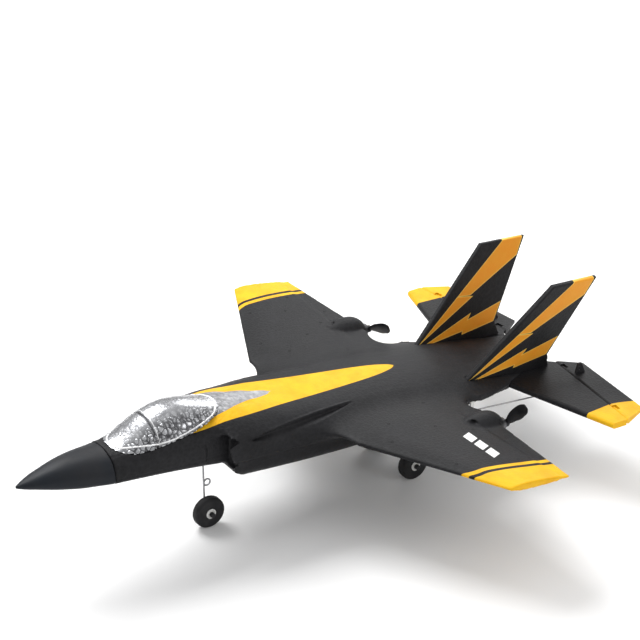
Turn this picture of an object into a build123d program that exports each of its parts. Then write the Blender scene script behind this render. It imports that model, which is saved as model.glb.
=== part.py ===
from build123d import *
from math import atan2, cos, pi, radians, sin
import os

# Foam twin-motor RC jet. Millimetres, +Z up, nose towards -Y, left wing on +X.
# The origin is on the ground below the middle of the airframe. It stands on its three wheels.

# ---------------------------------------------------------------- driving dimensions
LENGTH = 415.0
SPAN = 315.0
NOSE_CONE_LENGTH = 58.0
BODY_END = 391.0

SEAM_Z = 68.5            # height of the glued seam between the body halves, at the nose cone
SEAM_DROP = 0.0375       # fall of that seam for each millimetre towards the tail

WING_ROOT_X = 34.0
WING_TIP_X = SPAN / 2
WING_LEAD_SWEEP = 0.495  # run of the leading edge towards the tail for each millimetre of span
WING_LEAD_AT_ROOT = 189.4
WING_TRAIL_AT_ROOT = 302.8
WING_TRAIL_AT_TIP = 296.6
SPAR_R = 1.0
SPAR_HALF = 104.0
SPAR_Y = 262.0
SPAR_Z = 68.2

POD_X = 77.0
THRUST_TILT = 6.5        # the thrust line climbs towards the nose by this many degrees
MOTOR_R = 4.25
MOTOR_LENGTH = 20.0
PROP_R = 25.4
PROP_Y = 311.0
PROP_Z = 60.0
SHAFT_R = 0.5

STAB_Z = 56.0
STAB_THICK = 4.4
HINGE_INNER = (27.6, 398.0)
HINGE_OUTER = (113.1, 387.2)
HORN_ALONG = 19.0        # distance of the control horn from the inner end of the hinge line
LEVER = 8.0              # length of the servo arm and of the horn below the hinge line
WIRE_R = 0.5

WHEEL_R = 10.75
TYRE_WIDTH = 6.5
HUB_R = 3.4
AXLE_R = 0.6
RUNNING = 0.06           # radial clearance of a running fit
NOSE_AXLE_Y = 133.5
MAIN_AXLE_Y = 280.0
MAIN_WHEEL_X = 22.5

HATCH_HALF = 13.0
HATCH_START = 154.0
HATCH_END = 204.0
HATCH_TOP = 47.0


def at(distance):
    """Y of a station, given its distance behind the nose tip."""
    return distance - LENGTH / 2


def seam(distance):
    """Height of the seam between the upper and lower body halves."""
    return SEAM_Z - SEAM_DROP * (distance - NOSE_CONE_LENGTH)


def arch(half_width, base, crown, power, steps=10):
    """Half superellipse from +half_width over the crown to -half_width, as points."""
    points = []
    for step in range(steps + 1):
        angle = pi * step / steps
        side = 1 if cos(angle) >= 0 else -1
        across = side * half_width * abs(cos(angle)) ** (2 / power)
        points.append((across, base + (crown - base) * sin(angle) ** (2 / power)))
    points[0] = (half_width, base)
    points[-1] = (-half_width, base)
    return points


def half_shell(stations):
    """Loft of D-shaped sections (distance, half width, crown, fullness), closed along the seam."""
    with BuildPart() as shell:
        for distance, half_width, crown, power in stations:
            rise = 1 if crown > seam(distance) else -1
            with BuildSketch(Plane.XZ.offset(-at(distance))):
                with BuildLine():
                    points = arch(half_width, seam(distance), crown, power)
                    Spline(points, tangents=((0, rise), (0, -rise)))
                    Line(points[-1], points[0])
                make_face()
        loft()
    return shell.part


def foil_half(lead, trail, lead_z, trail_z, thick, side):
    """Upper (side 1) or lower (side -1) line of a wing section, nose to tail, as points."""
    points = []
    for share in (0.0, 0.03, 0.12, 0.3, 0.55, 0.8, 1.0):
        mean = lead_z + (trail_z - lead_z) * share
        half = 5 * thick * (0.2969 * share**0.5 - 0.126 * share - 0.3516 * share**2
                            + 0.2843 * share**3 - 0.1015 * share**4)
        bulge = 1.15 if side > 0 else 0.85
        points.append((at(lead + (trail - lead) * share), mean + side * (half * bulge + 0.55 * share)))
    return points


def wing_lead(x):
    return WING_LEAD_AT_ROOT + (x - WING_ROOT_X) * WING_LEAD_SWEEP


def wing_trail(x):
    share = (x - WING_ROOT_X) / (WING_TIP_X - WING_ROOT_X)
    return WING_TRAIL_AT_ROOT + (WING_TRAIL_AT_TIP - WING_TRAIL_AT_ROOT) * share


# ---------------------------------------------------------------- wing panels and spar
with BuildPart() as spar:
    with BuildSketch(Plane.YZ.offset(-SPAR_HALF)):
        with Locations((at(SPAR_Y), SPAR_Z)):
            Circle(SPAR_R)
    extrude(amount=2 * SPAR_HALF)

# Revolved teardrop around the thrust line; local x runs aft along the shaft.
thrust_line = Plane(
    origin=(POD_X, at(PROP_Y), PROP_Z),
    x_dir=(0, cos(radians(THRUST_TILT)), -sin(radians(THRUST_TILT))),
    z_dir=(1, 0, 0),
)
POD_FRONT = -44.0
POD_REAR = -5.0
POD_R = 11.0
POD_THICKEST = -16.0
VENT_AT = (-29.0, 10.8)  # cooling slot in the upper cover: along the thrust line and above the hub
with BuildPart() as pod:
    with BuildSketch(thrust_line):
        with BuildLine():
            Line((POD_FRONT, 0), (POD_REAR, 0))
            Line((POD_REAR, 0), (POD_REAR, MOTOR_R + 1.3))
            ThreePointArc((POD_REAR, MOTOR_R + 1.3), (-10, 9.6), (POD_THICKEST, POD_R))
            ThreePointArc((POD_THICKEST, POD_R), (-31, 8.2), (POD_FRONT, 0))
        make_face()
    revolve(axis=Axis(thrust_line.origin, thrust_line.x_dir))

with BuildPart() as left_wing:
    for x, lead_z, trail_z, thick in ((WING_ROOT_X, 70.2, 66.0, 8.6), (WING_TIP_X, 72.2, 66.6, 4.6)):
        with BuildSketch(Plane.YZ.offset(x)):
            with BuildLine():
                slope = (trail_z - lead_z) / (wing_trail(x) - wing_lead(x))
                upper = foil_half(wing_lead(x), wing_trail(x), lead_z, trail_z, thick, 1)
                lower = foil_half(wing_lead(x), wing_trail(x), lead_z, trail_z, thick, -1)
                Spline(upper, tangents=((0, 1), (1, slope - 0.06)))
                Spline(lower, tangents=((0, -1), (1, slope + 0.04)))
                Line(upper[-1], lower[-1])
            make_face()
    loft()
    add(pod.part, mode=Mode.SUBTRACT)
    add(spar.part, mode=Mode.SUBTRACT)

# ---------------------------------------------------------------- motors and pods
shaft_axis = Axis(thrust_line.origin, thrust_line.x_dir)


def turned(start, end, radius):
    """Cylinder on the thrust line between two distances along it."""
    with BuildPart() as cylinder:
        with BuildSketch(thrust_line):
            with Locations(((start + end) / 2, radius / 2)):
                Rectangle(end - start, radius)
        revolve(axis=shaft_axis)
    return cylinder.part


MOTOR_BACK = POD_REAR + 3.0
MOTOR_FRONT = MOTOR_BACK - MOTOR_LENGTH
with BuildPart() as left_motor:
    add(turned(MOTOR_FRONT, MOTOR_BACK, MOTOR_R))
    add(turned(MOTOR_FRONT - 1.2, MOTOR_FRONT, 1.4))
    add(turned(MOTOR_BACK, MOTOR_BACK + 0.8, 2.0))
    add(turned(MOTOR_BACK - 4.0, MOTOR_BACK + 2, SHAFT_R + RUNNING), mode=Mode.SUBTRACT)
with BuildPart() as left_prop_shaft:
    add(turned(MOTOR_BACK - 3.9, 3.4, SHAFT_R))

pod_split = Plane(origin=(POD_X, at(PROP_Y), PROP_Z), x_dir=(1, 0, 0),
                  z_dir=(0, sin(radians(THRUST_TILT)), cos(radians(THRUST_TILT))))
with BuildPart() as motor_room:
    add(turned(MOTOR_FRONT - 1.3, 1.0, MOTOR_R + 0.02))
with BuildPart() as left_pod_upper:
    add(pod.part)
    add(motor_room.part, mode=Mode.SUBTRACT)
    split(bisect_by=pod_split, keep=Keep.TOP)
    with BuildSketch(Plane.YZ.offset(POD_X)):
        with Locations((at(PROP_Y + VENT_AT[0]), PROP_Z + VENT_AT[1])):
            SlotOverall(5.6, 2.0, rotation=-THRUST_TILT)
    extrude(amount=12, mode=Mode.SUBTRACT)
with BuildPart() as left_pod_lower:
    add(pod.part)
    add(motor_room.part, mode=Mode.SUBTRACT)
    split(bisect_by=pod_split, keep=Keep.BOTTOM)

# ---------------------------------------------------------------- propeller
BLADE_SET = 0.8          # distance of the blades behind the middle of the propeller


def spun(face, angle):
    """The plane turned about its own normal, in degrees."""
    x_dir = face.x_dir * cos(radians(angle)) + face.y_dir * sin(radians(angle))
    return Plane(origin=face.origin, x_dir=x_dir, z_dir=face.z_dir)


def propeller(face, turn):
    """Two-blade pusher propeller: hub with a cone, and twisted blades."""
    with BuildPart() as prop:
        with BuildSketch(face.offset(-0.9)):
            Circle(2.6)
        extrude(amount=2.7)
        with BuildSketch(face.offset(1.8)):
            Circle(2.6)
        extrude(amount=2.2, taper=32)
        for half_turn in (0, 180):
            stations = ((1.2, 3.2, 48), (7, 6.4, 38), (15, 8.6, 27), (21, 7.8, 19), (PROP_R - 0.5, 4.4, 15))
            spoke = spun(face.offset(BLADE_SET), turn + half_turn)
            for radius, chord, pitch in stations:
                blade_face = Plane(origin=spoke.from_local_coords((radius, 0, 0)),
                                   x_dir=spoke.y_dir, z_dir=spoke.x_dir)
                with BuildSketch(spun(blade_face, pitch)):
                    Ellipse(chord / 2, 0.55)
            loft()
        with BuildSketch(face.offset(-3)):
            Circle(SHAFT_R)
        extrude(amount=6.4, mode=Mode.SUBTRACT)
    return prop.part


# ---------------------------------------------------------------- body halves
front_top = ((58, 18.2, 83.5, 2.4), (70, 19.2, 86.6, 2.3), (84, 20.9, 95.3, 2.2), (98, 22.0, 100.2, 2.2),
             (121, 23.8, 97.4, 2.3), (140, 25.3, 92.3, 2.4), (168, 27.0, 86.4, 2.5))
centre_top = ((146, 35.6, 90.6, 3.2), (176, 37.4, 86.2, 2.9), (200, 41.5, 83.6, 2.5), (245, 46.0, 79.6, 2.1),
              (290, 47.5, 75.2, 1.9), (325, 43.5, 70.4, 1.8), (350, 35.0, 67.2, 1.8), (BODY_END, 24.5, 62.4, 1.8))
front_belly = ((58, 18.2, 61.4, 2.0), (76, 19.8, 60.2, 2.0), (100, 22.0, 58.0, 2.0), (122, 23.8, 54.8, 2.0),
               (168, 26.0, 49.0, 2.2))
centre_belly = ((146, 34.4, 44.2, 2.6), (180, 35.0, 41.0, 2.6), (214, 35.0, 38.6, 2.6), (250, 34.0, 36.8, 2.6),
                (290, 32.4, 36.6, 2.6), (325, 30.4, 39.0, 2.6), (350, 28.0, 42.0, 2.6), (BODY_END, 23.0, 47.4, 2.6))

front_upper = half_shell(front_top)
front_lower = half_shell(front_belly)
centre_upper = half_shell(centre_top)
centre_lower = half_shell(centre_belly)

# The shelf that carries the wing's trailing edge on to the tailplane.
shelf_plane = Plane(origin=(0, at(301), 64.0), x_dir=(1, 0, 0), z_dir=(0, 0.17, 1))
shelf_outline = ((57, -6), (57, -1), (49, 3), (34, 51), (-34, 51), (-49, 3), (-57, -1), (-57, -6))
with BuildPart() as shelf:
    with BuildSketch(shelf_plane):
        with BuildLine():
            Polyline(shelf_outline, close=True)
        make_face()
    extrude(amount=2.0, both=True)

# Side view of the canopy's lower edge, cut straight through the body.
with BuildPart() as canopy_room:
    with BuildSketch(Plane.YZ.offset(-40)):
        with BuildLine():
            sill = Spline((at(61.5), 83.4), (at(67), 81.6), (at(88), 82.4), (at(108), 85.4), (at(139.5), 93.2))
            Polyline(sill @ 1, (at(139.5), 120), (at(61.5), 120), sill @ 0)
        make_face()
    extrude(amount=80)


def cut_then_mirror(pieces):
    """Keep the left half of the part being built, subtract left-hand pieces, and mirror the result."""
    split(bisect_by=Plane.YZ, keep=Keep.TOP)
    for piece in pieces:
        add(piece.part, mode=Mode.SUBTRACT)
    mirror(about=Plane.YZ)


# ---------------------------------------------------------------- tail surfaces
HINGE_SLOPE = (HINGE_OUTER[1] - HINGE_INNER[1]) / (HINGE_OUTER[0] - HINGE_INNER[0])
hinge_turn = atan2(HINGE_SLOPE, 1)
# Local x runs outboard along the hinge line, local y aft, local z up.
hinge_frame = Plane(origin=(HINGE_INNER[0], at(HINGE_INNER[1]), STAB_Z),
                    x_dir=(cos(hinge_turn), sin(hinge_turn), 0), z_dir=(0, 0, 1))
HINGE_GAP = 0.35
NOSE_ROUND = STAB_THICK / 2
TRAIL_INNER = (37.1, 412.7)
TRAIL_OUTER = (106.0, 405.6)
TRAIL_SLOPE = (TRAIL_OUTER[1] - TRAIL_INNER[1]) / (TRAIL_OUTER[0] - TRAIL_INNER[0])
HORN_THICK = 1.2
KNUCKLE_WIDTH = 5.0
KNUCKLES_ALONG = (8.0, 70.0)


def across(frame, distance):
    """Plane square to a frame's local x; its own x runs along local y and its own y along local z."""
    return Plane(origin=frame.from_local_coords((distance, 0, 0)), x_dir=frame.y_dir, z_dir=frame.x_dir)


def hinge_y(x):
    return HINGE_INNER[1] + (x - HINGE_INNER[0]) * HINGE_SLOPE


def trail_y(x):
    return TRAIL_INNER[1] + (x - TRAIL_INNER[0]) * TRAIL_SLOPE


with BuildPart() as left_stabilizer:
    with BuildSketch(Plane.XY.offset(STAB_Z)):
        with BuildLine():
            gap = NOSE_ROUND + HINGE_GAP
            Polyline((20, at(346)), (30, at(348.4)), (112.7, at(372.9)), (113.1, at(hinge_y(113.1) - gap)),
                     (27.6, at(hinge_y(27.6) - gap)), (23.8, at(391.0)), (20, at(386)), close=True)
        make_face()
    extrude(amount=STAB_THICK / 2, both=True)
    front_edges = left_stabilizer.edges().filter_by(lambda e: e.length > 80 and e.center().Y < at(370))
    fillet(front_edges, radius=STAB_THICK / 2 - 0.25)
    for along in KNUCKLES_ALONG:
        with Locations(hinge_frame):
            with Locations((along, -4.5, 0)):
                Box(KNUCKLE_WIDTH, 8, 1.0, mode=Mode.SUBTRACT)

with BuildPart() as left_hinge_wire:
    with BuildSketch(across(hinge_frame, 1.5)):
        Circle(0.4)
    extrude(amount=80)

left_knuckles = []
for along in KNUCKLES_ALONG:
    with BuildPart() as knuckle:
        with BuildSketch(across(hinge_frame, along - KNUCKLE_WIDTH / 2)):
            Circle(1.2)
            with Locations((-4.5, 0)):
                Rectangle(8, 1.0)
            Circle(0.4 + RUNNING, mode=Mode.SUBTRACT)
        extrude(amount=KNUCKLE_WIDTH)
    left_knuckles.append(knuckle)

with BuildPart() as left_horn:
    with BuildSketch(across(hinge_frame, HORN_ALONG)):
        with BuildLine():
            Polyline((1.4, 1.8), (3.2, 9.2), (5.8, 9.2), (9.5, 1.2), (9.5, -1.2), (1.8, -LEVER - 1.3),
                     (-1.5, -LEVER - 1.3), (-1.5, -LEVER + 1.3), (1.4, -2.4), close=True)
        make_face()
        with Locations((0, -LEVER)):
            Circle(WIRE_R + RUNNING, mode=Mode.SUBTRACT)
        with Locations((4.4, 6.8), (4.6, 4.2)):
            Circle(0.55, mode=Mode.SUBTRACT)
    extrude(amount=HORN_THICK / 2, both=True)

with BuildPart() as left_elevator:
    for x in (20.0, 118.0):
        with BuildSketch(Plane.YZ.offset(x)):
            with BuildLine():
                y = at(hinge_y(x))
                nose = ThreePointArc((y, STAB_Z + NOSE_ROUND), (y - NOSE_ROUND, STAB_Z), (y, STAB_Z - NOSE_ROUND))
                Polyline(nose @ 0, (at(trail_y(x)), STAB_Z + 0.8), (at(trail_y(x)), STAB_Z - 0.8), nose @ 1)
            make_face()
    loft()
    with BuildSketch(Plane.XY.offset(STAB_Z - 10)):
        with BuildLine():
            Polyline((25.9, at(394.5)), (37.1, at(412.7)), (37.1, at(420)), (104.5, at(420)),
                     (106, at(405.6)), (113.1, at(385)), (113.1, at(380)), (25.9, at(380)), close=True)
        make_face()
    extrude(amount=20, mode=Mode.INTERSECT)
    for along in KNUCKLES_ALONG:
        with Locations(hinge_frame):
            with Locations((along, -1, 0)):
                Box(KNUCKLE_WIDTH + 0.8, 5.6, 8, mode=Mode.SUBTRACT)
    add(left_hinge_wire.part, mode=Mode.SUBTRACT)
    add(left_horn.part, mode=Mode.SUBTRACT)

# Fin: sketched in its own canted plane; local x runs aft and local y up the fin.
FIN_CANT = 10.0
fin_plane = Plane(origin=(26.6, at(350), 57), x_dir=(0, 1, 0),
                  z_dir=(cos(radians(FIN_CANT)), 0, -sin(radians(FIN_CANT))))
fin_outline = ((312.7, 64.0), (376.8, 126.1), (LENGTH, 123.6), (384.6, 67.0), (387.8, 58.4), (345, 60.5))
with BuildPart() as left_fin:
    with BuildSketch(fin_plane):
        with BuildLine():
            Polyline([(y - 350, (z - 57) / cos(radians(FIN_CANT))) for y, z in fin_outline], close=True)
        make_face()
    extrude(amount=2.0, both=True)
    rims = left_fin.edges().filter_by(lambda e: e.length > 20 and e.center().Z > 70)
    fillet(rims, radius=1.2)

# ---------------------------------------------------------------- elevator servos and pushrods
SERVO_PIVOT = (37.0, 316.0, 57.5)
CASE_FACE = -2.5         # distance from the arm's mid-plane to the case, along the pivot
servo_frame = Plane(origin=(SERVO_PIVOT[0], at(SERVO_PIVOT[1]), SERVO_PIVOT[2]),
                    x_dir=hinge_frame.x_dir, z_dir=(0, 0, 1))
with BuildPart() as left_servo_case:
    with Locations(servo_frame):
        with Locations((CASE_FACE - 7.0, 4.5, 0)):
            Box(14, 18, 7.6)
with BuildPart() as left_servo_arm:
    with BuildSketch(across(servo_frame, -0.9)):
        Circle(2.4)
        with Locations((0, -LEVER / 2)):
            Rectangle(2.6, LEVER)
        with Locations((0, -LEVER)):
            Circle(1.6)
            Circle(WIRE_R + RUNNING, mode=Mode.SUBTRACT)
    extrude(amount=1.8)
    with BuildSketch(across(servo_frame, -2.4)):
        Circle(1.3)
    extrude(amount=1.6)

arm_hole = servo_frame.from_local_coords((0, 0, -LEVER))
horn_hole = hinge_frame.from_local_coords((HORN_ALONG, 0, -LEVER))
along_hinge = hinge_frame.x_dir
with BuildPart() as left_pushrod:
    with BuildLine() as rod_path:
        FilletPolyline(arm_hole - along_hinge * 1.7, arm_hole + along_hinge * 2.4,
                       horn_hole + along_hinge * 2.4, horn_hole - along_hinge * 1.4, radius=1.0)
    with BuildSketch(Plane(origin=rod_path.line @ 0, z_dir=rod_path.line % 0)):
        Circle(WIRE_R)
    sweep()

with BuildPart() as servo_room:
    add(left_servo_case.part)
    with Locations(servo_frame):
        with Locations((0.1, 0, -5.7)):
            Box(5.2, 15, 17.2)

# ---------------------------------------------------------------- landing gear
STRUT_TOP = 55.9
COIL_Z = 30.2
with BuildPart() as nose_strut:
    strut_x = -TYRE_WIDTH / 2 - 1.6
    with BuildLine() as nose_wire:
        FilletPolyline((strut_x, at(124.0), STRUT_TOP), (strut_x, at(132.0), STRUT_TOP),
                       (strut_x, at(NOSE_AXLE_Y), WHEEL_R), (6.2, at(NOSE_AXLE_Y), WHEEL_R), radius=1.6)
    with BuildSketch(Plane(origin=nose_wire.line @ 0, z_dir=nose_wire.line % 0)):
        Circle(AXLE_R)
    sweep()
    with Locations(Location((strut_x, at(124.6), STRUT_TOP - 1.5), (0, 90, 0))):
        Torus(1.7, AXLE_R * 0.8)
    with Locations(Location((strut_x + 0.5, at(135.0), COIL_Z), (0, 90, 0))):
        Torus(2.3, AXLE_R * 0.9)

with BuildPart() as left_main_strut:
    wheel_inner = MAIN_WHEEL_X - TYRE_WIDTH / 2 - 1.9
    with BuildLine() as main_wire:
        FilletPolyline((12.0, at(MAIN_AXLE_Y), 43), (wheel_inner, at(MAIN_AXLE_Y), WHEEL_R),
                       (MAIN_WHEEL_X + 6.2, at(MAIN_AXLE_Y), WHEEL_R), radius=1.6)
    with BuildSketch(Plane(origin=main_wire.line @ 0, z_dir=main_wire.line % 0)):
        Circle(AXLE_R)
    sweep()

with BuildPart() as nose_gear_block:
    with Locations((strut_x, at(129), STRUT_TOP + 2.6)):
        Box(9, 14, 4)
    add(nose_strut.part, mode=Mode.SUBTRACT)
with BuildPart() as main_gear_block:
    with Locations((0, at(MAIN_AXLE_Y), 41.5)):
        Box(34, 12, 4)
    add(left_main_strut.part, mode=Mode.SUBTRACT)
    mirror(left_main_strut.part, about=Plane.YZ, mode=Mode.SUBTRACT)


def wheel_face(x, distance, offset):
    return Plane(origin=(x + offset, at(distance), WHEEL_R), x_dir=(0, 1, 0), z_dir=(1, 0, 0))


def tyre(x, distance):
    """Foam tyre with rounded shoulders."""
    with BuildPart() as ring:
        with BuildSketch(wheel_face(x, distance, -TYRE_WIDTH / 2)):
            Circle(WHEEL_R)
            Circle(HUB_R, mode=Mode.SUBTRACT)
        extrude(amount=TYRE_WIDTH)
        shoulders = ring.edges().filter_by(lambda e: e.length > 2 * pi * (WHEEL_R - 0.5))
        fillet(shoulders.filter_by(GeomType.CIRCLE), radius=2.0)
    return ring.part


def hub(x, distance):
    """Plastic hub that turns on the axle wire."""
    with BuildPart() as core:
        with BuildSketch(wheel_face(x, distance, -TYRE_WIDTH / 2 - 0.4)):
            Circle(HUB_R)
            Circle(AXLE_R + RUNNING, mode=Mode.SUBTRACT)
        extrude(amount=TYRE_WIDTH + 0.8)
        for end in (-1, 1):
            with BuildSketch(wheel_face(x, distance, end * (TYRE_WIDTH / 2 + 0.4))):
                Circle(HUB_R - 0.7)
                Circle(AXLE_R + 0.7, mode=Mode.SUBTRACT)
            extrude(amount=-end * 1.0, mode=Mode.SUBTRACT)
    return core.part


def axle_cap(x, distance, strut):
    """Collar pushed on the end of the axle."""
    with BuildPart() as collar:
        with BuildSketch(wheel_face(x, distance, TYRE_WIDTH / 2 + 0.6)):
            Circle(1.7)
        extrude(amount=2.6)
        fillet(collar.faces().sort_by(Axis.X)[-1].edges(), radius=0.6)
        add(strut.part, mode=Mode.SUBTRACT)
    return collar.part

# ---------------------------------------------------------------- rooms inside the body
with BuildPart() as battery_room:
    with Locations((0, at(202), 53.75)):
        Box(29, 100, 13.5)
with BuildPart() as left_duct:
    with BuildSketch(Plane.XZ.offset(-at(118))):
        with Locations((27.6, 70.5)):
            RectangleRounded(10.6, 23, 3.5)
    extrude(amount=-40)
with BuildPart() as hatch_block:
    with Locations((0, at((HATCH_START + HATCH_END) / 2), HATCH_TOP - 10)):
        Box(2 * HATCH_HALF, HATCH_END - HATCH_START, 20)
with BuildPart() as hatch_hole:
    with Locations((0, at((HATCH_START + HATCH_END) / 2 - 0.25), HATCH_TOP - 9.9)):
        Box(2 * HATCH_HALF + 0.8, HATCH_END - HATCH_START + 1.3, 20.2)
HATCH_PIN = (0, at(HATCH_START + 1.4), 45.2)
with BuildPart() as hatch_pin:
    with BuildSketch(Plane.YZ.offset(-HATCH_HALF - 4)):
        with Locations((HATCH_PIN[1], HATCH_PIN[2])):
            Circle(0.5)
    extrude(amount=2 * HATCH_HALF + 8)

# ---------------------------------------------------------------- body shells
fixed_left = (left_wing, left_pod_upper, left_pod_lower, left_stabilizer, left_fin, servo_room, left_duct)
with BuildPart() as canopy:
    add(front_upper)
    add(canopy_room.part, mode=Mode.INTERSECT)
with BuildPart() as fuselage_upper:
    add(front_upper)
    add(canopy_room.part, mode=Mode.SUBTRACT)
    add(centre_upper)
    add(shelf.part)
    add(centre_lower, mode=Mode.SUBTRACT)
    cut_then_mirror(fixed_left)
    add(spar.part, mode=Mode.SUBTRACT)
with BuildPart() as fuselage_lower:
    add(front_lower)
    add(centre_lower)
    cut_then_mirror((left_stabilizer, left_fin, servo_room, left_duct, left_wing, left_main_strut))
    add(battery_room.part, mode=Mode.SUBTRACT)
    add(hatch_hole.part, mode=Mode.SUBTRACT)
    add(hatch_pin.part, mode=Mode.SUBTRACT)
    add(nose_gear_block.part, mode=Mode.SUBTRACT)
    add(nose_strut.part, mode=Mode.SUBTRACT)
    add(main_gear_block.part, mode=Mode.SUBTRACT)
with BuildPart() as battery_hatch:
    add(centre_lower)
    add(hatch_block.part, mode=Mode.INTERSECT)
    with BuildSketch(Plane.YZ.offset(-HATCH_HALF - 1)):
        with Locations((HATCH_PIN[1], HATCH_PIN[2])):
            Circle(0.5 + RUNNING)
    extrude(amount=2 * HATCH_HALF + 2, mode=Mode.SUBTRACT)

with BuildPart() as left_intake_cowl:
    add(half_shell(((118, 32.6, 92.4, 3.2), (132, 34.4, 91.7, 3.2), (146, 35.6, 90.6, 3.2))))
    add(half_shell(((118, 31.6, 45.6, 2.6), (132, 33.4, 44.9, 2.6), (146, 34.4, 44.2, 2.6))))
    add(front_upper, mode=Mode.SUBTRACT)
    add(front_lower, mode=Mode.SUBTRACT)
    add(left_duct.part, mode=Mode.SUBTRACT)
    with BuildSketch(Plane.YZ.offset(0)):
        with BuildLine():
            Polyline((at(122.5), 96), (at(134), 56), (at(146), 47), (at(150), 40), (at(150), 96), close=True)
        make_face()
    extrude(amount=60, mode=Mode.INTERSECT)

with BuildPart() as nose_cone:
    nose_stations = ((0.0, 0.7, 73.9, 72.7, 73.3), (9, 5.4, 77.3, 69.9, 73.0), (19, 9.1, 80.0, 67.6, 71.9),
                     (30, 12.4, 82.3, 65.0, 70.6), (42, 15.3, 83.2, 63.2, 69.5),
                     (NOSE_CONE_LENGTH, 17.9, 83.3, 61.6, SEAM_Z))
    for distance, half_width, crown, belly, chine in nose_stations:
        with BuildSketch(Plane.XZ.offset(-at(distance))):
            with BuildLine():
                Spline(arch(half_width, chine, crown, 2.3), tangents=((0, 1), (0, -1)))
                Spline(arch(half_width, chine, belly, 2.0), tangents=((0, -1), (0, 1)))
            make_face()
    loft()

with BuildPart() as tail_nozzle:
    with BuildSketch(Plane.XZ.offset(-at(BODY_END))):
        with Locations((0, 55.5)):
            Ellipse(17, 7.6)
            Ellipse(13.4, 5.2, mode=Mode.SUBTRACT)
    extrude(amount=-7)
    with BuildSketch(Plane.XZ.offset(-at(BODY_END))):
        with Locations((0, 55.5)):
            Ellipse(17, 7.6)
    extrude(amount=-2)

with BuildPart() as battery:
    with Locations((0, at(179), 52.0)):
        Box(22, 42, 8)
    fillet(battery.edges(), radius=1.2)
with BuildPart() as receiver_board:
    with Locations((0, at(230), 47.7)):
        Box(24, 34, 1.4)
    with Locations((-4, at(222), 49.2), (5, at(238), 49.2)):
        Box(7, 7, 1.6)
    with Locations((6, at(222), 50.4)):
        Box(8, 5, 4)

# ---------------------------------------------------------------- named pieces, both sides
centre_pieces = {
    "nose_cone": nose_cone, "fuselage_upper": fuselage_upper, "fuselage_lower": fuselage_lower,
    "canopy": canopy, "tail_nozzle": tail_nozzle, "wing_spar": spar, "battery": battery,
    "receiver_board": receiver_board, "battery_hatch": battery_hatch, "hatch_pin": hatch_pin,
    "nose_gear_block": nose_gear_block, "main_gear_block": main_gear_block, "nose_strut": nose_strut,
}
left_pieces = {
    "wing": left_wing, "fin": left_fin, "stabilizer": left_stabilizer, "elevator": left_elevator,
    "horn": left_horn, "hinge_wire": left_hinge_wire, "hinge_inner": left_knuckles[0],
    "hinge_outer": left_knuckles[1], "intake_cowl": left_intake_cowl, "pod_upper": left_pod_upper,
    "pod_lower": left_pod_lower, "motor": left_motor, "prop_shaft": left_prop_shaft,
    "servo_case": left_servo_case, "servo_arm": left_servo_arm, "pushrod": left_pushrod,
    "main_strut": left_main_strut,
}

parts = {}
for name, piece in centre_pieces.items():
    parts[name] = piece.part
for name, piece in left_pieces.items():
    parts["left_" + name] = piece.part
    parts["right_" + name] = mirror(piece.part, about=Plane.YZ)

LEFT_BLADE_TURN = 50.0
RIGHT_BLADE_TURN = 24.0
prop_face = Plane(origin=thrust_line.origin, x_dir=(1, 0, 0), z_dir=thrust_line.x_dir)
right_prop_face = Plane(origin=(-POD_X, at(PROP_Y), PROP_Z), x_dir=(1, 0, 0), z_dir=thrust_line.x_dir)
parts["left_propeller"] = propeller(prop_face, -LEFT_BLADE_TURN)
parts["right_propeller"] = propeller(right_prop_face, -RIGHT_BLADE_TURN)

gear = (("nose", 0, NOSE_AXLE_Y, nose_strut), ("left", MAIN_WHEEL_X, MAIN_AXLE_Y, left_main_strut))
for name, x, distance, strut in gear:
    parts[name + "_tyre"] = tyre(x, distance)
    parts[name + "_hub"] = hub(x, distance)
    parts[name + "_axle_cap"] = axle_cap(x, distance, strut)
for piece in ("tyre", "hub", "axle_cap"):
    parts["right_" + piece] = mirror(parts["left_" + piece], about=Plane.YZ)

os.makedirs("parts", exist_ok=True)
for name, shape in parts.items():
    shape.label = name
    export_step(shape, "parts/" + name + ".step")
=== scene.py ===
from math import cos, pi, radians, sin

import bmesh
import bpy
import numpy as np
from mathutils import Matrix, Vector
from mathutils.bvhtree import BVHTree


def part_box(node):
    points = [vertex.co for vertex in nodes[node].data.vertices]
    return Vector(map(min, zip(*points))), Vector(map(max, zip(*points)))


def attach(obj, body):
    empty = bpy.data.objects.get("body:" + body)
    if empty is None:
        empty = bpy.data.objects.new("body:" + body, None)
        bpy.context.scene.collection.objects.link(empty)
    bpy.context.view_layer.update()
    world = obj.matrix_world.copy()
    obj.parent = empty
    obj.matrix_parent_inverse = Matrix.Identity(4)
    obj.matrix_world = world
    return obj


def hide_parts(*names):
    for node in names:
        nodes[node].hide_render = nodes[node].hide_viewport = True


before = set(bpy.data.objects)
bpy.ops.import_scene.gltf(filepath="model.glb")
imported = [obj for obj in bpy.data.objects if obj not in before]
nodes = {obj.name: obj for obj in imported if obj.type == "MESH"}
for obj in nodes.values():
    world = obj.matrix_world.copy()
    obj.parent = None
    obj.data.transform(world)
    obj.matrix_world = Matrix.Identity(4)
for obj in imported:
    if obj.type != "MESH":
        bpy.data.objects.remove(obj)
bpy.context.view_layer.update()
MM = 0.001

# ------------------------------------------------------------------ places taken from the frame
NOSE_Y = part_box("nose_cone")[0].y
CONE_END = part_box("nose_cone")[1].y
SEAM_AT_CONE = 0.0685
SEAM_SLOPE = -0.0375


def at(station):
    """Y in metres of a station in millimetres behind the nose tip."""
    return NOSE_Y + station * MM


def seam(y):
    """Height of the glued seam between the body halves."""
    return SEAM_AT_CONE + SEAM_SLOPE * (y - CONE_END)


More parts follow.
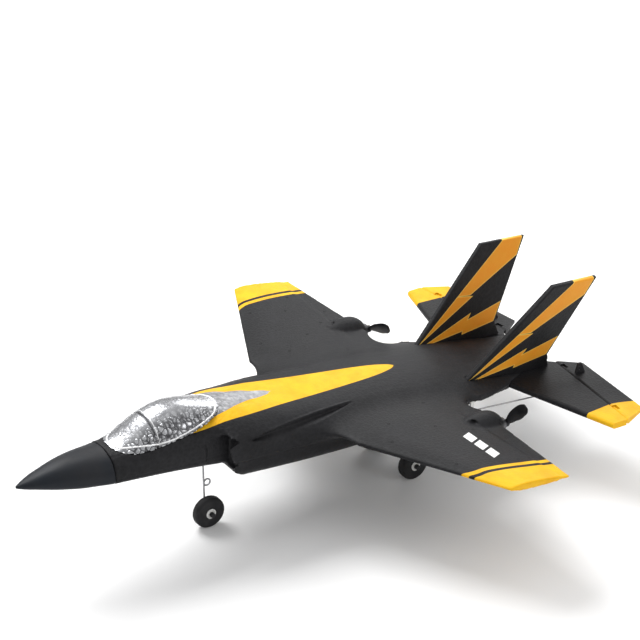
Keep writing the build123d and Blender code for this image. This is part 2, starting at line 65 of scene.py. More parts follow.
# ------------------------------------------------------------------ mesh helpers
def link(name, mesh):
    """New scene object for a mesh."""
    piece = bpy.data.objects.new(name, mesh)
    bpy.context.scene.collection.objects.link(piece)
    return piece


def bake_modifiers(piece):
    """Replace a piece's mesh by the result of its modifiers."""
    graph = bpy.context.evaluated_depsgraph_get()
    mesh = bpy.data.meshes.new_from_object(piece.evaluated_get(graph))
    piece.modifiers.clear()
    piece.data = mesh
    return piece


def add_block(target, low, high):
    """Closed box between two corners, added to a mesh that is being built."""
    spots = [target.verts.new((x, y, z))
             for x in (low[0], high[0]) for y in (low[1], high[1]) for z in (low[2], high[2])]
    for face in ((0, 1, 3, 2), (4, 6, 7, 5), (0, 4, 5, 1), (2, 3, 7, 6), (0, 2, 6, 4), (1, 5, 7, 3)):
        target.faces.new([spots[corner] for corner in face])


def remeshed(name, sources, voxel, blocks=()):
    """One closed skin around copies of some CAD nodes, with hidden hollows filled by blocks."""
    joined = bmesh.new()
    for source in sources:
        joined.from_mesh(nodes[source].data)
    for low, high in blocks:
        add_block(joined, low, high)
    mesh = bpy.data.meshes.new(name)
    joined.to_mesh(mesh)
    joined.free()
    mesh.materials.clear()
    piece = link(name, mesh)
    skin = piece.modifiers.new("skin", "REMESH")
    skin.mode = "VOXEL"
    skin.voxel_size = voxel
    bake_modifiers(piece)
    piece.data.materials.clear()
    return piece


def coords(mesh):
    points = np.empty(len(mesh.vertices) * 3)
    mesh.vertices.foreach_get("co", points)
    return points.reshape(-1, 3)


def put_coords(mesh, points):
    mesh.vertices.foreach_set("co", np.ascontiguousarray(points).ravel())
    mesh.update()


def normals(mesh):
    found = np.empty(len(mesh.vertices) * 3)
    mesh.vertices.foreach_get("normal", found)
    return found.reshape(-1, 3)


def edge_pairs(mesh):
    pairs = np.empty(len(mesh.edges) * 2, np.int64)
    mesh.edges.foreach_get("vertices", pairs)
    return pairs.reshape(-1, 2)


def relax(mesh, rounds, step, weight=None):
    """Laplacian smoothing; weight limits it to a region."""
    points = coords(mesh)
    pairs = edge_pairs(mesh)
    moving = np.ones(len(points)) if weight is None else weight
    active = moving > 0.001
    keep = active[pairs[:, 0]] | active[pairs[:, 1]]
    a, b = pairs[keep].T
    count = np.bincount(a, minlength=len(points)) + np.bincount(b, minlength=len(points))
    count = np.maximum(count, 1)[:, None]
    factor = moving[:, None] * step
    for _ in range(rounds):
        total = np.empty_like(points)
        for axis in range(3):
            line = points[:, axis]
            total[:, axis] = (np.bincount(a, weights=line[b], minlength=len(points))
                              + np.bincount(b, weights=line[a], minlength=len(points)))
        points = points + factor * np.where(active[:, None], total / count - points, 0)
    put_coords(mesh, points)


def polish(mesh, rounds):
    """Remove the voxel steps without shrinking."""
    for _ in range(rounds):
        relax(mesh, 1, 0.55)
        relax(mesh, 1, -0.57)


def smooth_step(low, high, value):
    share = np.clip((value - low) / (high - low), 0, 1)
    return share * share * (3 - 2 * share)


def shade_smooth(mesh):
    mesh.polygons.foreach_set("use_smooth", [True] * len(mesh.polygons))
    mesh.update()


def hash_cells(cells, salt):
    """Repeatable pseudo-random value in 0..1 for integer cells."""
    mixed = (cells[:, 0] * 73856093) ^ (cells[:, 1] * 19349663) ^ (cells[:, 2] * 83492791)
    mixed = mixed ^ (salt * 2654435761)
    mixed = (mixed ^ (mixed >> 13)) * 1274126177
    return ((mixed ^ (mixed >> 16)) & 0xFFFF) / 65535.0


def cell_gap(points, size):
    """Distance to the nearest and the second nearest jittered cell centre, in cell sizes."""
    scaled = points / size
    base = np.floor(scaled).astype(np.int64)
    first = np.full(len(points), 9.0)
    second = np.full(len(points), 9.0)
    for dx in (-1, 0, 1):
        for dy in (-1, 0, 1):
            for dz in (-1, 0, 1):
                cell = base + np.array([dx, dy, dz])
                jitter = np.stack([hash_cells(cell, salt) for salt in (1, 2, 3)], 1)
                gap = np.linalg.norm(cell + jitter - scaled, axis=1)
                second = np.minimum(second, np.maximum(gap, first))
                first = np.minimum(first, gap)
    return first, second


# ------------------------------------------------------------------ material helpers
class Paint:
    """Small builder for one node material, with masks worked out from object coordinates."""

    def __init__(self, name, roughness, coat=0.0, metallic=0.0, specular=0.18):
        self.material = bpy.data.materials.new(name)
        self.material.use_nodes = True
        self.tree = self.material.node_tree
        self.shader = self.tree.nodes["Principled BSDF"]
        self.shader.inputs["Metallic"].default_value = metallic
        self.shader.inputs["Coat Weight"].default_value = coat
        self.shader.inputs["Roughness"].default_value = roughness
        self.shader.inputs["Specular IOR Level"].default_value = specular
        self.place = self.node("ShaderNodeTexCoord").outputs["Object"]
        split = self.node("ShaderNodeSeparateXYZ")
        self.join(self.place, split.inputs[0])
        self.x, self.y, self.z = split.outputs

    def node(self, kind):
        return self.tree.nodes.new(kind)

    def join(self, source, target):
        if isinstance(source, (int, float)):
            target.default_value = source
        elif isinstance(source, tuple):
            target.default_value = (*source, 1.0)
        else:
            self.tree.links.new(source, target)

    def math(self, operation, first, second=0.0):
        made = self.node("ShaderNodeMath")
        made.operation = operation
        self.join(first, made.inputs[0])
        self.join(second, made.inputs[1])
        return made.outputs[0]

    def line(self, value, slope, shift):
        """slope * value + shift"""
        made = self.node("ShaderNodeMath")
        made.operation = "MULTIPLY_ADD"
        self.join(value, made.inputs[0])
        made.inputs[1].default_value = slope
        made.inputs[2].default_value = shift
        return made.outputs[0]

    def ramp(self, value, low, high):
        """0 at low, 1 at high, smooth between them."""
        made = self.node("ShaderNodeMapRange")
        made.interpolation_type = "SMOOTHSTEP"
        self.join(value, made.inputs["Value"])
        made.inputs["From Min"].default_value = low
        made.inputs["From Max"].default_value = high
        return made.outputs["Result"]

    def curve(self, value, points):
        """Smooth curve through (value, result) points."""
        low, high = points[0][0], points[-1][0]
        top = max(result for _, result in points) or 1.0
        made = self.node("ShaderNodeFloatCurve")
        self.join(self.line(value, 1 / (high - low), -low / (high - low)), made.inputs["Value"])
        line = made.mapping.curves[0]
        for _ in points[2:]:
            line.points.new(0.5, 0.5)
        for spot, (start, result) in zip(line.points, points):
            spot.location = ((start - low) / (high - low), result / top)
        made.mapping.update()
        return self.math("MULTIPLY", made.outputs[0], top)

    def both(self, *masks):
        result = masks[0]
        for mask in masks[1:]:
            result = self.math("MINIMUM", result, mask)
        return result

    def either(self, *masks):
        result = masks[0]
        for mask in masks[1:]:
            result = self.math("MAXIMUM", result, mask)
        return result

    def convex(self, along, up, corners, soft):
        """Mask of a convex polygon with its corners listed one way round."""
        centre = np.mean(corners, axis=0)
        sides = []
        for start, end in zip(corners, corners[1:] + corners[:1]):
            across = np.array([end[1] - start[1], start[0] - end[0]])
            across = across / np.linalg.norm(across)
            reach = float(across @ (centre - start))
            if reach < 0:
                across, reach = -across, -reach
            inside = self.math("ADD", self.line(along, float(across[0]), 0.0),
                               self.line(up, float(across[1]), -float(across @ np.array(start))))
            sides.append(inside)
        return self.ramp(self.both(*sides), -soft, soft)

    def noise(self, scale, detail=2.0, roughness=0.5):
        made = self.node("ShaderNodeTexNoise")
        made.inputs["Scale"].default_value = scale
        made.inputs["Detail"].default_value = detail
        made.inputs["Roughness"].default_value = roughness
        self.join(self.place, made.inputs["Vector"])
        return made.outputs["Fac"]

    def stored(self, name):
        """Value kept on the mesh's points."""
        made = self.node("ShaderNodeAttribute")
        made.attribute_name = name
        return made.outputs["Fac"]

    def cells(self, scale, feature="DISTANCE_TO_EDGE"):
        made = self.node("ShaderNodeTexVoronoi")
        made.feature = feature
        made.inputs["Scale"].default_value = scale
        self.join(self.place, made.inputs["Vector"])
        return made.outputs[0]

    def mix(self, share, first, second):
        made = self.node("ShaderNodeMix")
        made.data_type = "RGBA"
        self.join(share, made.inputs[0])
        self.join(first, made.inputs[6])
        self.join(second, made.inputs[7])
        return made.outputs[2]

    def colour(self, value):
        self.join(value, self.shader.inputs["Base Color"])

    def rough(self, value):
        self.join(value, self.shader.inputs["Roughness"])

    def bump(self, height, depth, strength=1.0):
        made = self.node("ShaderNodeBump")
        made.inputs["Distance"].default_value = depth
        made.inputs["Strength"].default_value = strength
        self.join(height, made.inputs["Height"])
        self.join(made.outputs["Normal"], self.shader.inputs["Normal"])


BLACK = (0.007, 0.007, 0.008)
BLACK_LIGHT = (0.019, 0.019, 0.021)
CONE_BLUE = (0.010, 0.013, 0.018)
YELLOW = (0.83, 0.48, 0.010)
YELLOW_DEEP = (0.76, 0.38, 0.007)
BOLT = (0.80, 0.33, 0.025)
SILVER = (0.50, 0.505, 0.52)
# Dark grey put into the bead crevices and the canopy groove of the silver paint: painted shade.
CREVICE_SHADE = (0.07, 0.07, 0.075)
WHITE = (0.86, 0.86, 0.85)
PAINT_EDGE = 0.00012       # half width of the blend at a paint edge
STRIPE_WIDTH = 0.0034      # narrow yellow stripe on the wing
TIP_START = 0.0062         # yellow tip, from the inner edge of the stripe
DASH_STATION = 0.2685      # middle of the white dashes
DASH_HALF = 0.0036
DASH_START = 0.0885
DASH_PITCH = 0.0112


def foam_grain(paint, beads=420.0):
    """Bead pattern of expanded foam: colour variation, roughness and bump. Returns the black's colour."""
    rim = paint.ramp(paint.cells(beads), 0.0, 0.16)
    fleck = paint.noise(1400.0, 3.0, 0.6)
    broad = paint.noise(28.0, 3.0, 0.55)
    height = paint.math("ADD", paint.math("MULTIPLY", rim, 0.6), paint.math("MULTIPLY", fleck, 0.5))
    paint.bump(height, 0.00016, 0.55)
    paint.rough(paint.line(paint.math("ADD", broad, paint.math("MULTIPLY", fleck, 0.5)), 0.26, 0.36))
    mottle = paint.math("ADD", broad, paint.math("MULTIPLY", paint.cells(beads, "F1"), 0.25))
    return paint.mix(paint.ramp(mottle, 0.35, 0.95), BLACK, BLACK_LIGHT)


def painted(paint, mask, base, colour, deep):
    """Brushed paint over the foam where mask is 1."""
    patch = paint.mix(paint.ramp(paint.noise(90.0, 4.0, 0.6), 0.3, 0.75), colour, deep)
    return paint.mix(mask, base, patch)


def body_material():
    paint = Paint("foam_body_paint", 0.55)
    base = foam_grain(paint)
    side = paint.math("ABSOLUTE", paint.x)
    station = paint.line(paint.y, 1.0, -NOSE_Y)
    seam_height = paint.line(station, SEAM_SLOPE, SEAM_AT_CONE - SEAM_SLOPE * (CONE_END - NOSE_Y))
    height = paint.math("SUBTRACT", paint.z, seam_height)
    angle = paint.math("ARCTAN2", side, height)
    low_edge = paint.curve(station, [(s * MM, radians(a)) for s, a in (
        (106, 44.0), (118, 43.6), (135, 42.4), (148, 41.8), (183, 37.6), (208, 34.4), (230, 30.7),
        (252, 25.1), (266, 17.7), (277, 0))])
    high_edge = paint.curve(station, [(s * MM, radians(a)) for s, a in (
        (106, 45.5), (114.7, 40.1), (121.8, 36.6), (128.6, 31.6), (139, 27.3), (151.8, 19.0), (165, 13.0),
        (176, 6.5), (180.5, 0), (300, 0))])
    in_length = paint.both(paint.ramp(station, 0.1055, 0.1065), paint.ramp(station, 0.2775, 0.2765))
    soft = 0.006
    below = paint.ramp(paint.math("SUBTRACT", low_edge, angle), -soft, soft)
    silver = paint.both(paint.ramp(paint.math("SUBTRACT", high_edge, angle), -soft, soft), in_length,
                        paint.ramp(station, 0.1808, 0.1803))
    swoosh = paint.both(below, in_length, paint.math("SUBTRACT", 1.0, silver))
    silver = paint.both(silver, paint.ramp(height, 0.004, 0.006))
    # Hockey-stick stripes across each wing tip.
    inner = paint.curve(station, [(s * MM, x * MM) for s, x in (
        (230, 124), (242, 129.6), (250, 130.2), (266, 132.2), (280, 133.8), (300, 135.2))])
    past = paint.math("SUBTRACT", side, inner)
    stripe = paint.both(paint.ramp(past, -PAINT_EDGE, PAINT_EDGE),
                        paint.ramp(past, STRIPE_WIDTH + PAINT_EDGE, STRIPE_WIDTH - PAINT_EDGE))
    tip = paint.ramp(past, TIP_START - PAINT_EDGE, TIP_START + PAINT_EDGE)
    tips = paint.both(paint.either(stripe, tip), paint.ramp(station, 0.18, 0.181))
    tips = paint.both(tips, paint.ramp(paint.math("SUBTRACT", paint.z, seam(at(270))), -0.0035, -0.0030))
    yellow = paint.either(swoosh, tips)
    colour = painted(paint, yellow, base, YELLOW, YELLOW_DEEP)
    streaks = paint.ramp(paint.noise(260.0, 4.0, 0.6), 0.3, 0.8)
    silver_tone = paint.mix(streaks, (0.30, 0.30, 0.31), SILVER)
    # The bead crevices in the silver paint are darkened: painted shade in the recesses.
    silver_tone = paint.mix(paint.math("MULTIPLY", paint.stored("crevice"), 0.8), silver_tone, CREVICE_SHADE)
    colour = paint.mix(silver, colour, silver_tone)
    paint.join(paint.math("MULTIPLY", silver, 0.85), paint.shader.inputs["Metallic"])
    # Three slanted dashes on the left wing.
    slant = paint.math("SUBTRACT", station, DASH_STATION)
    run = paint.math("ADD", paint.x, paint.math("MULTIPLY", slant, 0.45))
    band = paint.ramp(paint.math("ABSOLUTE", slant), DASH_HALF + PAINT_EDGE, DASH_HALF - PAINT_EDGE)
    share = paint.math("FRACT", paint.line(run, 1 / DASH_PITCH, -DASH_START / DASH_PITCH))
    wave = paint.math("ABSOLUTE", paint.math("SUBTRACT", share, 0.5))
    dashes = paint.both(band, paint.ramp(wave, 0.405, 0.385), paint.ramp(run, 0.0884, 0.0886),
                        paint.ramp(run, 0.1222, 0.1220), paint.ramp(height, 0.0, 0.001))
    colour = paint.mix(dashes, colour, WHITE)
    paint.colour(colour)
    return paint.material


def plain_foam(name, colour=None):
    paint = Paint(name, 0.6)
    base = foam_grain(paint)
    paint.colour(base if colour is None else painted(paint, 1.0, base, *colour))
    return paint.material


def cone_material():
    paint = Paint("smooth_cone_foam", 0.5)
    fleck = paint.noise(1600.0, 3.0, 0.6)
    broad = paint.noise(35.0, 4.0, 0.55)
    paint.bump(paint.math("ADD", fleck, paint.math("MULTIPLY", broad, 2.0)), 0.00010, 0.4)
    paint.rough(paint.line(broad, 0.2, 0.40))
    paint.colour(paint.mix(paint.ramp(broad, 0.3, 0.75), CONE_BLUE, BLACK_LIGHT))
    return paint.material


def silver_material():
    paint = Paint("hammered_silver", 0.3, metallic=0.86)
    fleck = paint.noise(900.0, 3.0, 0.6)
    streaks = paint.ramp(paint.noise(240.0, 4.0, 0.6), 0.3, 0.8)
    crevice = paint.stored("crevice")
    paint.bump(paint.math("SUBTRACT", paint.math("MULTIPLY", fleck, 0.5), crevice), 0.00016, 0.6)
    paint.rough(paint.line(fleck, 0.2, 0.16))
    tone = paint.mix(streaks, (0.34, 0.345, 0.36), SILVER)
    # The crevices and the arch groove are darkened in colour: painted shade in the recesses.
    paint.colour(paint.mix(crevice, tone, CREVICE_SHADE))
    return paint.material


def rim_material():
    paint = Paint("bright_rim_paint", 0.32, metallic=0.25)
    fleck = paint.noise(1200.0, 3.0, 0.6)
    paint.bump(fleck, 0.00008, 0.4)
    paint.rough(paint.line(fleck, 0.2, 0.24))
    paint.colour(paint.mix(fleck, (0.74, 0.745, 0.76), (0.95, 0.95, 0.95)))
    return paint.material


def fin_material():
    paint = Paint("fin_bolt_paint", 0.55)
    base = foam_grain(paint)
    along = paint.line(paint.y, 1000.0, 0.0)
    up = paint.line(paint.z, 1000.0, 0.0)
    soft = 0.14
    shapes = (
        [(110.5, 67.5), (146.0, 93.9), (159.5, 91.3)],
        [(146.0, 93.9), (188.0, 125.2), (205.5, 124.4), (199.5, 111.8), (157.0, 92.3)],
        [(111.5, 65.2), (156.8, 79.8), (149.0, 68.4)],
        [(149.5, 74.6), (183.5, 82.0), (176.0, 69.0), (147.8, 66.0)],
    )
    bolts = paint.either(*[paint.convex(along, up, corners, soft) for corners in shapes])
    rims = paint.either(*[paint.convex(along, up, corners, 0.9) for corners in shapes])
    patch = painted(paint, 1.0, base, BOLT, (0.80, 0.30, 0.02))
    patch = paint.mix(paint.ramp(rims, 1.0, 0.62), patch, (0.93, 0.62, 0.12))
    paint.colour(paint.mix(bolts, base, patch))
    return paint.material


def tail_material():
    paint = Paint("tail_tip_paint", 0.55)
    base = foam_grain(paint)
    side = paint.math("ABSOLUTE", paint.x)
    station = paint.line(paint.y, 1.0, -NOSE_Y)
    edge = paint.curve(station, [(0.36, 0.0942), (0.378, 0.0928), (0.392, 0.0925), (0.412, 0.0972)])
    tip = paint.ramp(paint.math("SUBTRACT", side, edge), -PAINT_EDGE, PAINT_EDGE)
    paint.colour(painted(paint, tip, base, YELLOW, YELLOW_DEEP))
    return paint.material


def moulded(name, colour, second, roughness, grain=700.0, depth=0.00005):
    """Moulded plastic: fine grain, slight mottling."""
    paint = Paint(name, roughness)
    fleck = paint.noise(grain, 3.0, 0.55)
    broad = paint.noise(120.0, 2.0, 0.5)
    paint.bump(fleck, depth, 0.5)
    paint.rough(paint.line(broad, 0.16, roughness - 0.08))
    paint.colour(paint.mix(paint.ramp(broad, 0.3, 0.7), colour, second))
    return paint.material


def metal(name, colour, second, roughness):
    """Drawn or plated metal with fine scratches."""
    paint = Paint(name, roughness, metallic=1.0)
    fleck = paint.noise(2500.0, 2.0, 0.6)
    paint.bump(fleck, 0.00003, 0.4)
    paint.rough(paint.line(fleck, 0.2, roughness - 0.1))
    paint.colour(paint.mix(fleck, colour, second))
    return paint.material


MATERIALS = {
    "body": body_material(),
    "fin": fin_material(),
    "tail": tail_material(),
    "cone": cone_material(),
    "silver": silver_material(),
    "rim": rim_material(),
    "foam": plain_foam("foam_black"),
    # The vent marks are coloured darker than the foam: painted shade inside the dishes.
    "pit": moulded("vent_pit", (0.003, 0.003, 0.003), (0.008, 0.008, 0.008), 0.7),
    "black": moulded("moulded_black", (0.020, 0.020, 0.022), (0.030, 0.030, 0.032), 0.42),
    "propeller": moulded("propeller_black", (0.012, 0.012, 0.014), (0.022, 0.022, 0.024), 0.30),
    "tyre": moulded("tyre_foam_rubber", (0.016, 0.016, 0.017), (0.030, 0.030, 0.031), 0.72, 1800.0, 0.00012),
    "white": moulded("moulded_white", (0.80, 0.80, 0.78), (0.88, 0.88, 0.86), 0.38),
    "blue": moulded("moulded_blue", (0.02, 0.06, 0.26), (0.03, 0.09, 0.32), 0.35),
    "wrap": moulded("battery_wrap_film", (0.08, 0.15, 0.42), (0.11, 0.2, 0.5), 0.25),
    "board": moulded("solder_mask_green", (0.02, 0.16, 0.06), (0.03, 0.22, 0.08), 0.3),
    "wire": metal("drawn_steel", (0.25, 0.25, 0.26), (0.42, 0.42, 0.43), 0.32),
    "motor": metal("plated_steel", (0.10, 0.10, 0.105), (0.16, 0.16, 0.165), 0.38),
    "carbon": moulded("pultruded_carbon", (0.014, 0.014, 0.015), (0.03, 0.03, 0.032), 0.3),
}
NODE_LOOKS = {
    "fin": "fin", "stabilizer": "tail", "elevator": "tail", "horn": "black", "hinge_wire": "wire",
    "hinge_inner": "tail", "hinge_outer": "tail", "motor": "motor", "prop_shaft": "motor",
    "servo_case": "blue", "servo_arm": "white", "pushrod": "wire", "main_strut": "wire",
    "propeller": "propeller",
    "tyre": "tyre", "hub": "white", "axle_cap": "black", "nose_tyre": "tyre", "nose_hub": "white",
    "nose_axle_cap": "black", "nose_strut": "wire", "nose_gear_block": "black", "main_gear_block": "black",
    "tail_nozzle": "foam", "wing_spar": "carbon", "battery": "wrap", "receiver_board": "board",
    "battery_hatch": "foam", "hatch_pin": "wire", "wing": "body", "pod_upper": "body", "pod_lower": "body",
    "intake_cowl": "foam", "fuselage_upper": "body", "fuselage_lower": "body", "canopy": "silver",
    "nose_cone": "cone",
}


def finish_piece(piece, look, body):
    piece.data.materials.clear()
    piece.data.materials.append(MATERIALS[look])
    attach(piece, body)
    return piece


# ------------------------------------------------------------------ foam body
BODY_VOXEL = 0.0008
DUCT_NEAR = 0.0215         # side of the duct towards the centre plane
DUCT_BLIND = 136           # stations between which the duct is filled
DUCT_END = 160


def foam_body():
    """The moulded foam airframe: body halves, wings, intake lips and motor pods as one blended skin."""
    sides = [side + part for side in ("left_", "right_")
             for part in ("wing", "intake_cowl", "pod_upper", "pod_lower")]
    sources = ["fuselage_upper", "fuselage_lower", *sides]
    # The intake is blind a short way behind its lip: two crossed blocks fill the duct's rounded section.
    blocks = []
    for side in (-1, 1):
        for reach, low, high in ((0.0316, 0.0588, 0.0822), (0.0330, 0.0612, 0.0796)):
            near, far = sorted((side * DUCT_NEAR, side * reach))
            blocks.append(((near, at(DUCT_BLIND), low), (far, at(DUCT_END), high)))
    piece = remeshed("foam_body", sources, BODY_VOXEL, blocks)
    mesh = piece.data
    polish(mesh, 8)
    points = coords(mesh)
    side, y, z = np.abs(points[:, 0]), points[:, 1], points[:, 2]
    station = (y - NOSE_Y) / MM
    above = z - seam(y)
    # The body flows into the wing: long smoothing along the root, above and below.
    root = (smooth_step(0.026, 0.034, side) * smooth_step(0.064, 0.052, side)
            * smooth_step(182, 200, station) * smooth_step(318, 302, station)
            * smooth_step(-0.004, 0.001, above))
    relax(mesh, 260, 0.6, root)
    # The shoulder runs smoothly from the body to the top of the intake.
    shoulder = (smooth_step(108, 116, station) * smooth_step(172, 156, station)
                * smooth_step(0.0805, 0.0840, z) * smooth_step(0.012, 0.018, side)
                * smooth_step(0.040, 0.037, side))
    relax(mesh, 800, 0.6, shoulder)
    root_low = (smooth_step(0.026, 0.032, side) * smooth_step(0.050, 0.040, side)
                * smooth_step(186, 200, station) * smooth_step(312, 300, station)
                * smooth_step(0.001, -0.003, above))
    relax(mesh, 60, 0.6, root_low)
    carve(mesh)
    points = coords(mesh)
    fade = smooth_step(50, 62, station) * smooth_step(172, 118, station) * smooth_step(0.004, 0.011, above)
    hammer(mesh, fade, BODY_BEAD_DEPTH)
    shade_smooth(mesh)
    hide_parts(*sources)
    return finish_piece(piece, "body", "airframe")


def carve(mesh):
    """Press the shoulder crescents and the seam line into the foam."""
    points = coords(mesh)
    out = normals(mesh)
    side, y, z = np.abs(points[:, 0]), points[:, 1], points[:, 2]
    station = (y - NOSE_Y) / MM
    above = z - seam(y)
    angle = np.degrees(np.arctan2(side, above))
    share = np.clip((station - 144) / (225 - 144), 0, 1)
    top = 70.5 - 10.4 * np.sin(share * pi / 2) ** 0.7
    depth = 13.5 * np.sin(np.clip(share * 1.02, 0, 1) * pi) ** 0.6 * (1 - share) ** 0.35
    inside = (angle - top) / np.maximum(depth, 0.4)
    bowl = smooth_step(-0.03, 0.10, inside) * (1 - smooth_step(0.25, 1.0, inside))
    rim = np.exp(-((angle - top + 1.0) / 0.9) ** 2)
    active = smooth_step(143.5, 147, station) * smooth_step(225, 219, station) * (above > 0.002)
    dent = active * (-0.0024 * bowl + 0.0005 * rim)
    line = np.exp(-(above / 0.0005) ** 2) * smooth_step(0.034, 0.030, side) * smooth_step(150, 140, station)
    dent = dent - 0.0004 * line
    put_coords(mesh, points + out * dent[:, None])


BEAD_SIZE = 0.0030
BODY_BEAD_DEPTH = 0.00022
CANOPY_BEAD_DEPTH = 0.00055


def hammer(mesh, strength, depth):
    """Rounded foam beads pressed against each other, with the crevices kept for the paint, which darkens them
    in the silver areas as painted shade.
    """
    points = coords(mesh)
    out = normals(mesh)
    first, second = cell_gap(points, BEAD_SIZE)
    crevice = (1 - smooth_step(0.02, 0.30, second - first)) * strength
    put_coords(mesh, points - out * (crevice * depth)[:, None])
    kept = mesh.attributes.new("crevice", "FLOAT", "POINT")
    kept.data.foreach_set("value", crevice)


# ------------------------------------------------------------------ canopy
def canopy_piece():
    """Silver canopy with the hammered surface of painted beads, its crevices and arch groove darkened as
    painted shade.
    """
    piece = remeshed("canopy_shell", ["canopy"], 0.00045)
    mesh = piece.data
    polish(mesh, 6)
    points = coords(mesh)
    out = normals(mesh)
    side = np.abs(points[:, 0])
    station = (points[:, 1] - NOSE_Y) / MM
    strength = 0.10 + 0.90 * smooth_step(0.007, 0.015, side)
    arch_station = 86.2 + 0.7 * side / 0.019
    groove = np.exp(-((station - arch_station) / 0.6) ** 2)
    put_coords(mesh, points - out * (0.0005 * groove)[:, None])
    hammer(mesh, strength, CANOPY_BEAD_DEPTH)
    # The arch groove joins the crevice value, so the silver is darkened along it too: painted shade in the
    # groove.
    crevice = mesh.attributes["crevice"]
    values = np.empty(len(mesh.vertices))
    crevice.data.foreach_get("value", values)
    crevice.data.foreach_set("value", np.maximum(values, groove))
    shade_smooth(mesh)
    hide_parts("canopy")
    return finish_piece(piece, "silver", "airframe")


def surface_of(*pieces):
    """Ray target made of the final meshes of some pieces."""
    joined = bmesh.new()
    for piece in pieces:
        joined.from_mesh(piece.data)
    tree = BVHTree.FromBMesh(joined)
    joined.free()
    return tree


def on_skin(tree, station, degrees_round):
    """Point and normal on the skin at a station and an angle from straight up about the seam line."""
    y = at(station)
    turn = radians(degrees_round)
    ray = Vector((sin(turn), 0, cos(turn)))
    origin = Vector((0, y, seam(y))) + ray * 0.06
    point, normal, _, _ = tree.ray_cast(origin, -ray)
    return point, normal


def strip(name, tree, path, width, height, look, closed=False):
    """Raised line moulded on the skin: a rounded ribbon along (station, angle) points."""
    path = [found for found in (on_skin(tree, *spot) for spot in path) if found[0] is not None]
    mesh_data = bmesh.new()
    rings = []
    section = [(-1.0, -1.2), (-0.9, 0.35), (-0.45, 0.9), (0.0, 1.0), (0.45, 0.9), (0.9, 0.35), (1.0, -1.2)]
    for step, (point, normal) in enumerate(path):
        before = path[max(step - 1, 0)][0]
        after = path[min(step + 1, len(path) - 1)][0]
        along = (after - before).normalized()
        across = along.cross(normal).normalized()
        taper = min(1.0, 0.35 + min(step, len(path) - 1 - step) * 0.25)
        wide, tall = width / 2 * taper, height * taper
        rings.append([mesh_data.verts.new(point + across * (a * wide) + normal * (b * tall))
                      for a, b in section])
    for first, second in zip(rings, rings[1:]):
        for a in range(len(section)):
            b = (a + 1) % len(section)
            mesh_data.faces.new((first[a], first[b], second[b], second[a]))
    mesh_data.faces.new(rings[0])
    mesh_data.faces.new(rings[-1])
    bmesh.ops.recalc_face_normals(mesh_data, faces=mesh_data.faces)
    mesh = bpy.data.meshes.new(name)
    mesh_data.to_mesh(mesh)
    mesh_data.free()
    shade_smooth(mesh)
    return finish_piece(link(name, mesh), look, "airframe")


def spread(corners, steps):
    """Smooth path through a few (station, angle) corners, by Catmull-Rom."""
    spots = [corners[0], *corners, corners[-1]]
    made = []
    for index in range(1, len(spots) - 2):
        p0, p1, p2, p3 = (np.array(spots[index + shift], float) for shift in (-1, 0, 1, 2))
        for step in range(steps):
            t = step / steps
            made.append(0.5 * (2 * p1 + (p2 - p0) * t + (2 * p0 - 5 * p1 + 4 * p2 - p3) * t * t
                               + (3 * p1 - p0 - 3 * p2 + p3) * t ** 3))
    made.append(np.array(corners[-1], float))
    return [tuple(spot) for spot in made]


def canopy_lines(tree):
    """Raised bright outline of the glazing and the hoop across it."""
    half = [(63.4, 0), (64.0, 14), (66.0, 27), (71.3, 35.5), (78.8, 41.7), (86, 45.3), (96, 46.0),
            (104.7, 43.2), (111.4, 40.4), (119.7, 36.0), (128.2, 28.7), (131.7, 22.5), (135.1, 11.3),
            (136.5, 0)]
    whole = half + [(station, -angle) for station, angle in half[-2::-1]]
    strip("glazing_outline", tree, spread(whole, 7), 0.0011, 0.00042, "rim")
    hoop = [(88.0 + 0.6 * abs(angle) / 45, angle) for angle in range(-45, 46, 3)]
    strip("glazing_hoop", tree, hoop, 0.0006, 0.00025, "rim")


# ------------------------------------------------------------------ nose cone
def nose_piece():
    piece = remeshed("nose_cap", ["nose_cone"], 0.0006)
    mesh = piece.data
    polish(mesh, 10)
    points = coords(mesh)
    out = normals(mesh)
    wave = np.sin(points[:, 0] * 420 + 1.3) * np.sin(points[:, 1] * 260) * np.sin(points[:, 2] * 350 + 0.4)
    put_coords(mesh, points + out * (wave * 0.00012)[:, None])
    shade_smooth(mesh)
    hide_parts("nose_cone")
    return finish_piece(piece, "cone", "airframe")


# ------------------------------------------------------------------ small wing details
def ring_of(made, place, radius, rise):
    """Round of mesh points about a local z axis."""
    steps = 16
    turns = [2 * pi * step / steps for step in range(steps)]
    return [made.verts.new(place @ Vector((radius * cos(a), radius * sin(a), rise))) for a in turns]


def wing_vents(tree):
    """Steam-vent marks of the foam mould: small dished rings on the wings, one piece a side, coloured darker
    than the foam as painted shade in the dishes.
    """
    spots = ((118, 239), (76, 221), (111, 264), (57, 232), (73, 257), (86, 277), (43, 270), (102, 291),
             (130, 278))
    # Radius and height of each round, from the dish outwards and down into the foam.
    profile = ((0.00005, -0.00025), (0.00055, -0.0002), (0.00072, 0.00006), (0.0009, 0.00012),
               (0.00112, -0.0001), (0.001, -0.0008))
    for sign, name in ((1, "left_vent_marks"), (-1, "right_vent_marks")):
        made = bmesh.new()
        for x, station in spots:
            above = Vector((sign * x * MM, at(station), 0.12))
            point, normal, _, _ = tree.ray_cast(above, Vector((0, 0, -1)))
            if point is None:
                continue
            turn = normal.to_track_quat("Z", "Y").to_matrix().to_4x4()
            place = Matrix.Translation(point) @ turn
            rings = [ring_of(made, place, radius, rise) for radius, rise in profile]
            for inner, outer in zip(rings, rings[1:]):
                for a in range(len(inner)):
                    b = (a + 1) % len(inner)
                    made.faces.new((inner[a], outer[a], outer[b], inner[b]))
            made.faces.new(rings[0])
            made.faces.new(rings[-1])
        bmesh.ops.recalc_face_normals(made, faces=made.faces)
        mesh = bpy.data.meshes.new(name)
        made.to_mesh(mesh)
        made.free()
        shade_smooth(mesh)
        finish_piece(link(name, mesh), "pit", "airframe")


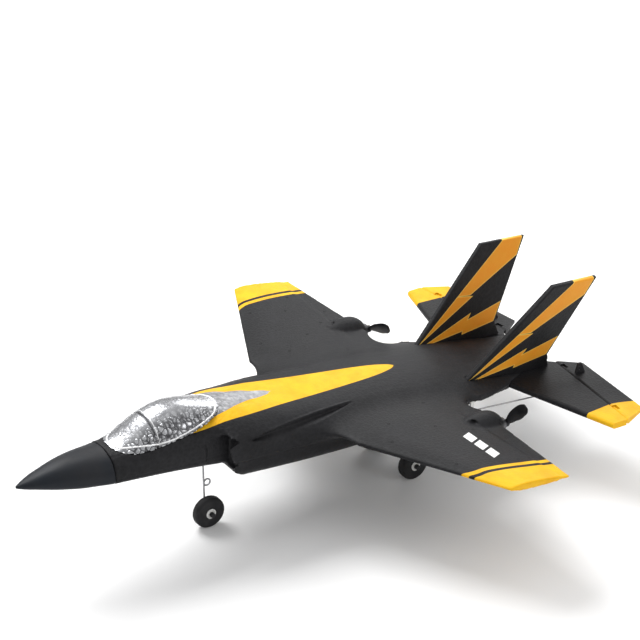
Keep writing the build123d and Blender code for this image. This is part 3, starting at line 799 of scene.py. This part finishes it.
# ------------------------------------------------------------------ stage
def stage():
    """Pale flat floor, soft dome and three soft lights."""
    half = 6.0
    mesh = bpy.data.meshes.new("floor")
    made = bmesh.new()
    made.faces.new([made.verts.new((x * half, y * half, 0)) for x, y in ((-1, -1), (1, -1), (1, 1), (-1, 1))])
    made.to_mesh(mesh)
    made.free()
    floor = link("floor", mesh)
    material = bpy.data.materials.new("floor_paper")
    material.use_nodes = True
    shader = material.node_tree.nodes["Principled BSDF"]
    shader.inputs["Base Color"].default_value = (0.93, 0.93, 0.93, 1)
    shader.inputs["Roughness"].default_value = 0.85
    floor.data.materials.append(material)
    world = bpy.data.worlds.new("studio")
    world.use_nodes = True
    tree = world.node_tree
    place = tree.nodes.new("ShaderNodeTexCoord")
    split = tree.nodes.new("ShaderNodeSeparateXYZ")
    dome = tree.nodes.new("ShaderNodeMapRange")
    dome.inputs["From Min"].default_value = 0.0
    dome.inputs["From Max"].default_value = 0.75
    dome.inputs["To Min"].default_value = 0.34
    dome.inputs["To Max"].default_value = 0.85
    tree.links.new(place.outputs["Generated"], split.inputs[0])
    tree.links.new(split.outputs["Z"], dome.inputs["Value"])
    tree.links.new(dome.outputs["Result"], tree.nodes["Background"].inputs["Strength"])
    tree.nodes["Background"].inputs["Color"].default_value = (1, 1, 1, 1)
    bpy.context.scene.world = world
    bpy.context.scene.view_settings.view_transform = "Standard"
    lights = (
        ("key_softbox", (-0.75, -0.15, 1.15), (0, 0, 0.05), 0.7, 17.0),
        ("side_softbox", (1.1, 0.55, 0.75), (0, 0.02, 0.06), 0.6, 3.0),
        ("rear_softbox", (-0.8, 0.95, 0.7), (0, 0.02, 0.06), 0.6, 4.0),
    )
    for name, spot, target, size, power in lights:
        lamp = bpy.data.lights.new(name, "AREA")
        lamp.shape = "SQUARE"
        lamp.size = size
        lamp.energy = power
        holder = bpy.data.objects.new(name, lamp)
        holder.location = spot
        holder.rotation_euler = (Vector(spot) - Vector(target)).to_track_quat("Z", "Y").to_euler()
        bpy.context.scene.collection.objects.link(holder)


def camera():
    lens = bpy.data.cameras.new("camera")
    lens.lens = 110.47
    lens.sensor_width = 36.0
    holder = bpy.data.objects.new("camera", lens)
    spot = Vector((0.91105, -0.62473, 0.70197))
    target = Vector((-0.0190, 0.02237, 0.11473))
    aim = (spot - target).to_track_quat("Z", "Y").to_matrix()
    roll = Matrix.Rotation(radians(1.555), 3, "Z")
    holder.location = spot
    holder.rotation_euler = (aim @ roll).to_euler()
    bpy.context.scene.collection.objects.link(holder)
    bpy.context.scene.camera = holder


# ------------------------------------------------------------------ build
stage()
camera()
body = foam_body()
canopy = canopy_piece()
nose_piece()
skin = surface_of(body, canopy)
canopy_lines(skin)
wing_vents(skin)
for name, node in nodes.items():
    if node.hide_render:
        continue
    base_name = name.replace("left_", "").replace("right_", "")
    material = MATERIALS[NODE_LOOKS.get(base_name, "black")]
    if not node.material_slots:
        node.data.materials.append(material)
    for slot in node.material_slots:
        slot.material = material
